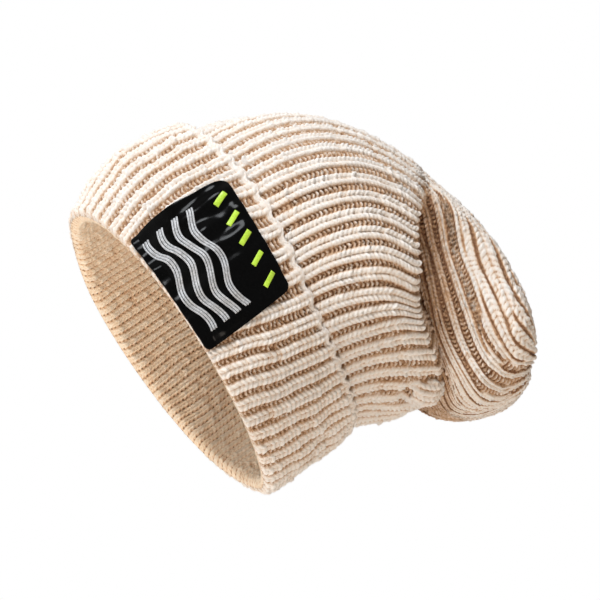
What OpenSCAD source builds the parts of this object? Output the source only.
// Slouchy rib-knit beanie with a turned-up cuff and a film patch.
// +Z runs from the head opening up to the crown, +X to the back, where the crown
// slouches over, and -Y is the side that carries the patch. The origin is the
// centre of the head opening, level with the lower edge of the brim.

/* [Head opening] */
// Radius of the opening that grips the head
head_r = 88; // [80:0.5:96]
// Thickness of one layer of knit
knit_t = 4.4; // [3:0.1:6]
// Clearance between the inner band and the cuff
layer_gap = 0.6; // [0.4:0.1:2]

/* [Cuff] */
// Height of the cuff at the side of the head
cuff_h = 73.5; // [60:0.5:85]
// How much higher the cuff stands at the front, and lower at the back
cuff_rise = 8; // [0:0.5:12]
// How far the cuff swells outwards at the front
front_swell = 12; // [2:0.5:14]
// How far the cuff swells outwards at the back
back_swell = 0.8; // [0.5:0.1:8]
// Height of the rolled fold at the lower edge of the cuff
fold_h = 6; // [5:0.5:9]
// Height of the cast-on edge along the top of the cuff
edge_h = 3; // [2:0.25:5]
// How far the cast-on edge stands proud of the cuff
edge_proud = 1.2; // [0:0.1:2]

/* [Body and crown] */
// Height of the crease's front end, where the crown turns over
hinge_z = 183; // [175:1:195]
// Distance from the opening's axis forward to the crease's front end
hinge_x = 10; // [0:1:20]
// Slope of the crease down towards the back, in degrees
crease_tilt = 36; // [32:1:40]
// Length of the crease's mouth from front to back, inside the fold
crease_len = 128; // [116:1:136]
// Half the width of the crease's mouth, across the head
crease_half = 78; // [70:1:84]
// How far the crease sags at both sides of the head
crease_sag = 12; // [0:1:16]
// How far the fold is pressed in at both sides of the head
valley_d = 22; // [0:1:24]
// How far the body's lip stands out past the mouth at the back
lip_back_out = 11; // [6:0.5:14]
// How far the body's lip stands out past the mouth at the sides
lip_side_out = 12; // [8:0.5:16]
// Gap between the body's rim and the crown's rim in the crease
crease_gap = 0.6; // [0.4:0.1:2]
// How far the body swells sideways past the inner band
body_swell = 10; // [4:0.5:14]
// Distance from the opening's axis back to the crown's gather
gather_x = 114; // [108:1:124]
// Height of the crown's gather
gather_z = 173; // [168:1:184]
// Radius of the gather's ring
gather_r = 9; // [7:0.5:12]
// Thickness of the gather's ring
gather_t = 4; // [3:0.25:6]
// Thickness of the closing yarn
yarn_d = 2.4; // [1.5:0.1:3]
// Clearance between the closing yarn and the gather's ring
yarn_gap = 0.1; // [0.05:0.05:0.3]

/* [Patch] */
// Width of the film patch, round the cuff
patch_w = 75; // [50:1:90]
// Height of the film patch
patch_h = 60; // [35:1:60]
// Corner radius of the film patch
patch_corner = 4; // [1:0.5:8]
// Thickness of the glossy film
film_t = 1.2; // [0.6:0.1:2]
// Thickness of the felt backing
felt_t = 0.8; // [0.4:0.1:1.5]
// How far the felt stays inside the film's edge
felt_inset = 1.5; // [0.5:0.25:4]
// Height of the patch's centre above the brim
patch_z = 36; // [33:0.5:38]
// Angle of the patch's centre forward from the side of the head
patch_turn = 14.5; // [0:0.5:40]
// How far the patch leans, front end up, in degrees
patch_tilt = 6; // [0:0.5:8]
// Thickness of the raised ink
ink_t = 0.4; // [0.2:0.1:0.8]
// Width of one grey wave of ink
wave_w = 3; // [1.5:0.25:4]
// Distance between the grey waves
wave_pitch = 8; // [6:0.5:9]
// Length of one lime dash of ink
dash_l = 9; // [5:0.5:12]
// Clearance between the felt backing and the knit
patch_gap = 0.3; // [0.25:0.05:0.6]
// Clearance between the layers of the patch
glue_gap = 0.1; // [0.08:0.02:0.3]

/* [Hidden] */

knit_colour = [0.92, 0.84, 0.74];
inside_colour = [0.84, 0.71, 0.57];

// Layers of the head opening, from the head outwards; the inner band ends level with the cuff's back
band_h = cuff_h - cuff_rise;
band_r = head_r + knit_t;
cuff_in_r = band_r + layer_gap;
fold_r = cuff_in_r + knit_t;
fold_round = min(fold_h, knit_t) * 0.9;

// Mesh counts: columns round the hat, rows of the body and crown, rows of the cuff
around = 40;
loft_rows = 13;
cuff_rows = 6;

// The crease lies in one plane, from its front end down to the back
crease_dir = [cos(crease_tilt), 0, -sin(crease_tilt)];
crease_up = [sin(crease_tilt), 0, cos(crease_tilt)];
hinge = [-hinge_x, 0, hinge_z];
crease_back = hinge + crease_len * crease_dir;
crown_hinge = hinge + crease_gap * crease_up;
crown_back = crease_back + crease_gap * crease_up;

// The body's lip, from which its knit turns in to the crease's mouth
lip_drop = 4;
lip_front = hinge + [-7.5, 0, -3];
lip_back = hinge + (crease_len + lip_back_out) * crease_dir - lip_drop * crease_up;
lip_half = crease_half + lip_side_out;

// The gather's ring faces up and back
gather = [gather_x, 0, gather_z];
gather_tilt = 32;
gather_dir = [cos(gather_tilt), 0, -sin(gather_tilt)];

// Front outline, back outline and half width of the body up to its lip, as Bezier handles
body_front = [
  [-band_r, 0, band_h],
  [-band_r - 17, 0, band_h + 49],
  lip_front + [-47, 0, -18],
  lip_front
];
body_back = [
  [band_r, 0, band_h],
  [band_r + 2, 0, band_h + 11],
  lip_back + [3, 0, -10],
  lip_back
];
body_half = [band_r, band_r + 1.2 * body_swell, band_r + body_swell, lip_half];

// The same three curves for the crown, from the crease to the gather
crown_front = [
  crown_hinge,
  crown_hinge + [40, 0, 14],
  gather - gather_r * gather_dir + [-20, 0, 17],
  gather - gather_r * gather_dir
];
crown_end = gather + gather_r * gather_dir;
crown_back_curve = [
  crown_back,
  crown_back + [56, 0, 0],
  crown_end + [24, 0, 2.5],
  crown_end
];
crown_half = [crease_half, crease_half + 24, crease_half, gather_r];

// Point at t on a cubic Bezier curve
function bezier(p, t) =
  pow(1 - t, 3) * p[0] + 3 * pow(1 - t, 2) * t * p[1] + 3 * (1 - t) * t * t * p[2] + pow(t, 3) * p[3];

// Smooth step from 0 at low to 1 at high
function ease(low, high, x) =
  let (t = min(max((x - low) / (high - low), 0), 1))
  t * t * (3 - 2 * t);

// How far the fold is pressed in at angle a: at the sides, and less to the back and the front
function valley(a) =
  let (away = abs(a - 180))
  valley_d * ease(38, 76, away) * (1 - ease(104, 134, away));

// Shift of a point at angle a, from the crease's sag and valley at their weights
function bend(a, sag, press) =
  -sag * crease_sag * pow(sin(a), 2) * crease_up - press * valley(a) * sign(sin(a)) * [0, 1, 0];

// One closed ring of points across the hat; angle 0 is the front, 90 the far side
function ring(front, back, half, sag, press, inset = 0) =
  let (
    centre = (front + back) / 2,
    reach = norm(back - front) / 2,
    along = (back - front) / (2 * reach)
  )
  [
    for (k = [0:around - 1])
      let (a = 360 * k / around)
      centre - (reach - inset) * cos(a) * along + (half - inset) * sin(a) * [0, 1, 0] + bend(a, sag, press)
  ];

// Rings of the body, at t from the cuff to the lip, and of the crown, from the crease to the gather
function body_ring(t, inset = 0) =
  ring(bezier(body_front, t), bezier(body_back, t), bezier(body_half, t), ease(0.4, 1, t), 0, inset);
function crown_ring(t, inset = 0) =
  ring(
    bezier(crown_front, t), bezier(crown_back_curve, t), bezier(crown_half, t),
    1 - ease(0, 0.4, t), 1 - ease(0.2, 0.8, t), inset
  );

// Outward normal of a grid of rings at one point
function grid_normal(grid, row, k) =
  let (
    last = len(grid) - 1,
    up = grid[min(row + 1, last)][k] - grid[max(row - 1, 0)][k],
    round = grid[row][(k + 1) % around] - grid[row][(k + around - 1) % around],
    n = cross(up, round)
  )
  n / norm(n);

// The inner face of a grid of rings, one layer of knit in, between a first and a last ring that are given
function inner_grid(grid, first, last) =
  [
    first,
    for (row = [1:len(grid) - 2])
      [for (k = [0:around - 1]) grid[row][k] - knit_t * grid_normal(grid, row, k)],
    last
  ];

// Two triangles across four corners
function quad(a, b, c, d) = [[a, b, c], [a, c, d]];

// Closed shell between two grids of rings, joined at both ends
module shell(outer, inner) {
  rows = len(outer);
  count = rows * around;
  function at(side, row, k) = side * count + row * around + k % around;
  faces = [
    for (row = [0:rows - 2], k = [0:around - 1])
      each concat(
        quad(at(0, row, k), at(0, row, k + 1), at(0, row + 1, k + 1), at(0, row + 1, k)),
        quad(at(1, row, k), at(1, row + 1, k), at(1, row + 1, k + 1), at(1, row, k + 1))
      ),
    for (k = [0:around - 1])
      each concat(
        quad(at(0, 0, k), at(1, 0, k), at(1, 0, k + 1), at(0, 0, k + 1)),
        quad(at(0, rows - 1, k), at(0, rows - 1, k + 1), at(1, rows - 1, k + 1), at(1, rows - 1, k))
      )
  ];
  polyhedron(points = [for (r = outer) each r, for (r = inner) each r], faces = faces);
}

// The cuff swells as a sine of its height, which passes its peak below the top
swell_turn = 126;

// Height of the cuff's top, and a point of its outer face at angle a and height z
function cuff_top(a) = cuff_h + cuff_rise * cos(a);
function cuff_point(a, z, out = 0) =
  let (
    rise = sin(swell_turn * (z - fold_h) / (cuff_top(a) - fold_h)),
    r = fold_r + rise * (front_swell + back_swell) / 2,
    lean = rise * (front_swell - back_swell) / 2
  )
  [-lean - (r + out) * cos(a), (r + out) * sin(a), z];

function cuff_ring(step, out = 0) =
  [
    for (k = [0:around - 1])
      let (a = 360 * k / around, z = fold_h + (cuff_top(a) - fold_h) * step / (cuff_rows - 1))
      cuff_point(a, z, out)
  ];

// One ring of the cast-on edge, raised and let out from the cuff's top ring
function edge_ring(up, out) =
  [
    for (k = [0:around - 1])
      let (a = 360 * k / around)
      cuff_point(a, cuff_top(a), out) + [0, 0, up]
  ];

// Point of the patch at p round the cuff and q up it, out from the knit
patch_angle = 270 + patch_turn;
function patch_point(p, q, out) =
  let (
    u = p * cos(patch_tilt) - q * sin(patch_tilt),
    w = p * sin(patch_tilt) + q * cos(patch_tilt)
  )
  cuff_point(patch_angle + u / fold_r * 180 / PI, patch_z + w, out);

// Half width of a rounded plate at height q
function plate_half(w, h, corner, q) =
  let (into = max(0, abs(q) - (h / 2 - corner)))
  w / 2 - corner + sqrt(max(0, corner * corner - into * into));

// Closed plate between two out-distances over a grid of [p, q] points
module curved_plate(grid, low, high) {
  rows = len(grid);
  cols = len(grid[0]);
  count = rows * cols;
  function at(side, i, j) = side * count + i * cols + j;
  points = [
    for (out = [low, high], line = grid, g = line)
      patch_point(g[0], g[1], out)
  ];
  faces = [
    for (i = [0:rows - 2], j = [0:cols - 2])
      each concat(
        quad(at(1, i, j), at(1, i, j + 1), at(1, i + 1, j + 1), at(1, i + 1, j)),
        quad(at(0, i, j), at(0, i + 1, j), at(0, i + 1, j + 1), at(0, i, j + 1))
      ),
    for (j = [0:cols - 2])
      each concat(
        quad(at(0, 0, j), at(0, 0, j + 1), at(1, 0, j + 1), at(1, 0, j)),
        quad(at(0, rows - 1, j), at(1, rows - 1, j), at(1, rows - 1, j + 1), at(0, rows - 1, j + 1))
      ),
    for (i = [0:rows - 2])
      each concat(
        quad(at(0, i, 0), at(1, i, 0), at(1, i + 1, 0), at(0, i + 1, 0)),
        quad(at(0, i, cols - 1), at(0, i + 1, cols - 1), at(1, i + 1, cols - 1), at(1, i, cols - 1))
      )
  ];
  polyhedron(points = points, faces = faces);
}

// Grid of a plate with rounded corners, its rows closer together in the corners
plate_cols = 16;
function plate_grid(w, h, corner) =
  let (
    turn = [0, 30, 60, 90],
    low = [for (a = turn) -h / 2 + corner * (1 - cos(a))],
    mid = [for (i = [1:5]) (h / 2 - corner) * (i / 3 - 1)],
    high = [for (a = turn) -low[3 - a / 30]]
  )
  [
    for (q = concat(low, mid, high))
      [for (j = [0:plate_cols]) [plate_half(w, h, corner, q) * (2 * j / plate_cols - 1), q]]
  ];

// Grid of a strip of ink along a list of centre points, width across it in q
function strip_grid(centres, width) =
  [for (side = [-1, 1]) [for (c = centres) [c[0], c[1] + side * width / 2]]];

// Distances of the patch's layers out from the knit
felt_high = patch_gap + felt_t;
film_low = felt_high + glue_gap;
film_high = film_low + film_t;
ink_low = film_high + glue_gap;
ink_high = ink_low + ink_t;

module inner_band() {
  color(inside_colour)
    difference() {
      cylinder(h = band_h, r = band_r, $fn = 96);
      translate([0, 0, -1])
        cylinder(h = band_h + 2, r = head_r, $fn = 96);
    }
}

// The body, with the knit that turns in from its lip to the crease's mouth
module body_knit() {
  mouth = ring(hinge, crease_back, crease_half, 1, 1);
  outer = concat([for (row = [0:loft_rows - 2]) body_ring(row / (loft_rows - 2))], [mouth]);
  inner = inner_grid(outer, body_ring(0, knit_t), [for (p = mouth) p - knit_t * crease_up]);
  color(knit_colour)
    shell(outer, inner);
}

// The roll where the knit turns up into the cuff, round below and flat where it rests
module brim_fold() {
  color(knit_colour)
    rotate_extrude($fn = 96)
      translate([cuff_in_r, 0]) {
        square([knit_t - fold_round, fold_h]);
        translate([0, fold_round])
          square([knit_t, fold_h - fold_round]);
        intersection() {
          translate([knit_t - fold_round, fold_round])
            circle(r = fold_round, $fn = 32);
          square([knit_t, fold_h]);
        }
      }
}

module cuff_knit() {
  color(knit_colour)
    shell(
      [for (step = [0:cuff_rows - 1]) cuff_ring(step)],
      [for (step = [0:cuff_rows - 1]) cuff_ring(step, -knit_t)]
    );
}

// The rounded cast-on edge that finishes the top of the cuff
module cuff_edge() {
  color(knit_colour)
    shell(
      [
        edge_ring(0, 0),
        edge_ring(edge_h * 0.3, edge_proud),
        edge_ring(edge_h * 0.8, edge_proud * 0.7),
        edge_ring(edge_h, -knit_t * 0.4)
      ],
      [
        edge_ring(0, -knit_t),
        edge_ring(edge_h * 0.3, -knit_t),
        edge_ring(edge_h * 0.8, -knit_t * 0.9),
        edge_ring(edge_h, -knit_t * 0.6)
      ]
    );
}

module patch_backing() {
  color([0.2, 0.2, 0.2])
    curved_plate(
      plate_grid(patch_w - 2 * felt_inset, patch_h - 2 * felt_inset, max(0.5, patch_corner - felt_inset)),
      patch_gap,
      felt_high
    );
}

module patch_face() {
  color([0.04, 0.04, 0.045])
    curved_plate(plate_grid(patch_w, patch_h, patch_corner), film_low, film_high);
}

// Raised grey waves across the lower part of the film
wave_count = 4;
wave_steps = 18;
ink_margin = 4;
wave_half = patch_w / 2 - patch_corner - ink_margin;
wave_low = -patch_h / 2 + patch_corner + wave_w + ink_margin / 2;
wave_rise = wave_w * 0.8;
wave_turn = 8;
wave_shift = 50;
function wave_centres(i) =
  [
    for (s = [0:wave_steps])
      let (p = wave_half * (2 * s / wave_steps - 1))
      [p, wave_low + i * wave_pitch + wave_rise * sin(wave_turn * p + wave_shift * i)]
  ];
module patch_print() {
  color([0.72, 0.72, 0.72])
    for (i = [0:wave_count - 1])
      curved_plate(strip_grid(wave_centres(i), wave_w), ink_low, ink_high);
}

// A row of slanted lime dashes along the upper edge of the film
dash_count = 5;
dash_w = wave_w;
dash_pitch = dash_l * 1.4;
dash_rise = dash_l * 0.35;
dash_q = patch_h / 2 - patch_corner - dash_rise - dash_w / 2;
module patch_accent() {
  color([0.66, 0.86, 0.18])
    for (i = [0:dash_count - 1]) {
      p = (i - (dash_count - 1) / 2) * dash_pitch;
      centres = [for (s = [-1, 0, 1]) [p + s * dash_l / 2, dash_q + s * dash_rise]];
      curved_plate(strip_grid(centres, dash_w), ink_low, ink_high);
    }
}

module crown_knit() {
  outer = [for (row = [0:loft_rows - 1]) crown_ring(row / (loft_rows - 1))];
  inner = inner_grid(outer, crown_ring(0, knit_t), crown_ring(1, knit_t));
  color(knit_colour)
    shell(outer, inner);
}

// Moves and turns a shape so that its +Z leaves the crown at the gather
module at_gather() {
  translate(gather)
    rotate([0, gather_tilt, 0])
      children();
}

// The drawn-in ring of last stitches, dished in the middle
module crown_gather() {
  ring_r = gather_t / 2;
  color(knit_colour)
    at_gather()
      rotate_extrude($fn = 64) {
        square([gather_r - ring_r, ring_r]);
        translate([gather_r - ring_r, 0])
          intersection() {
            translate([0, ring_r])
              circle(r = ring_r, $fn = 32);
            translate([-ring_r, 0])
              square([2 * ring_r, gather_t]);
          }
      }
}

// The yarn drawn through the last stitches and knotted inside the crown
module gather_yarn() {
  loop_r = max(gather_r - knit_t - yarn_d, yarn_d * 0.6);
  knot_r = yarn_d * 0.8;
  color(inside_colour)
    at_gather()
      translate([0, 0, -yarn_d / 2 - yarn_gap]) {
        rotate_extrude($fn = 48)
          translate([loop_r, 0])
            circle(d = yarn_d, $fn = 24);
        translate([0, 0, -knot_r])
          sphere(r = knot_r, $fn = 32);
      }
}

inner_band();
body_knit();
brim_fold();
cuff_knit();
cuff_edge();
patch_backing();
patch_face();
patch_print();
patch_accent();
crown_knit();
crown_gather();
gather_yarn();
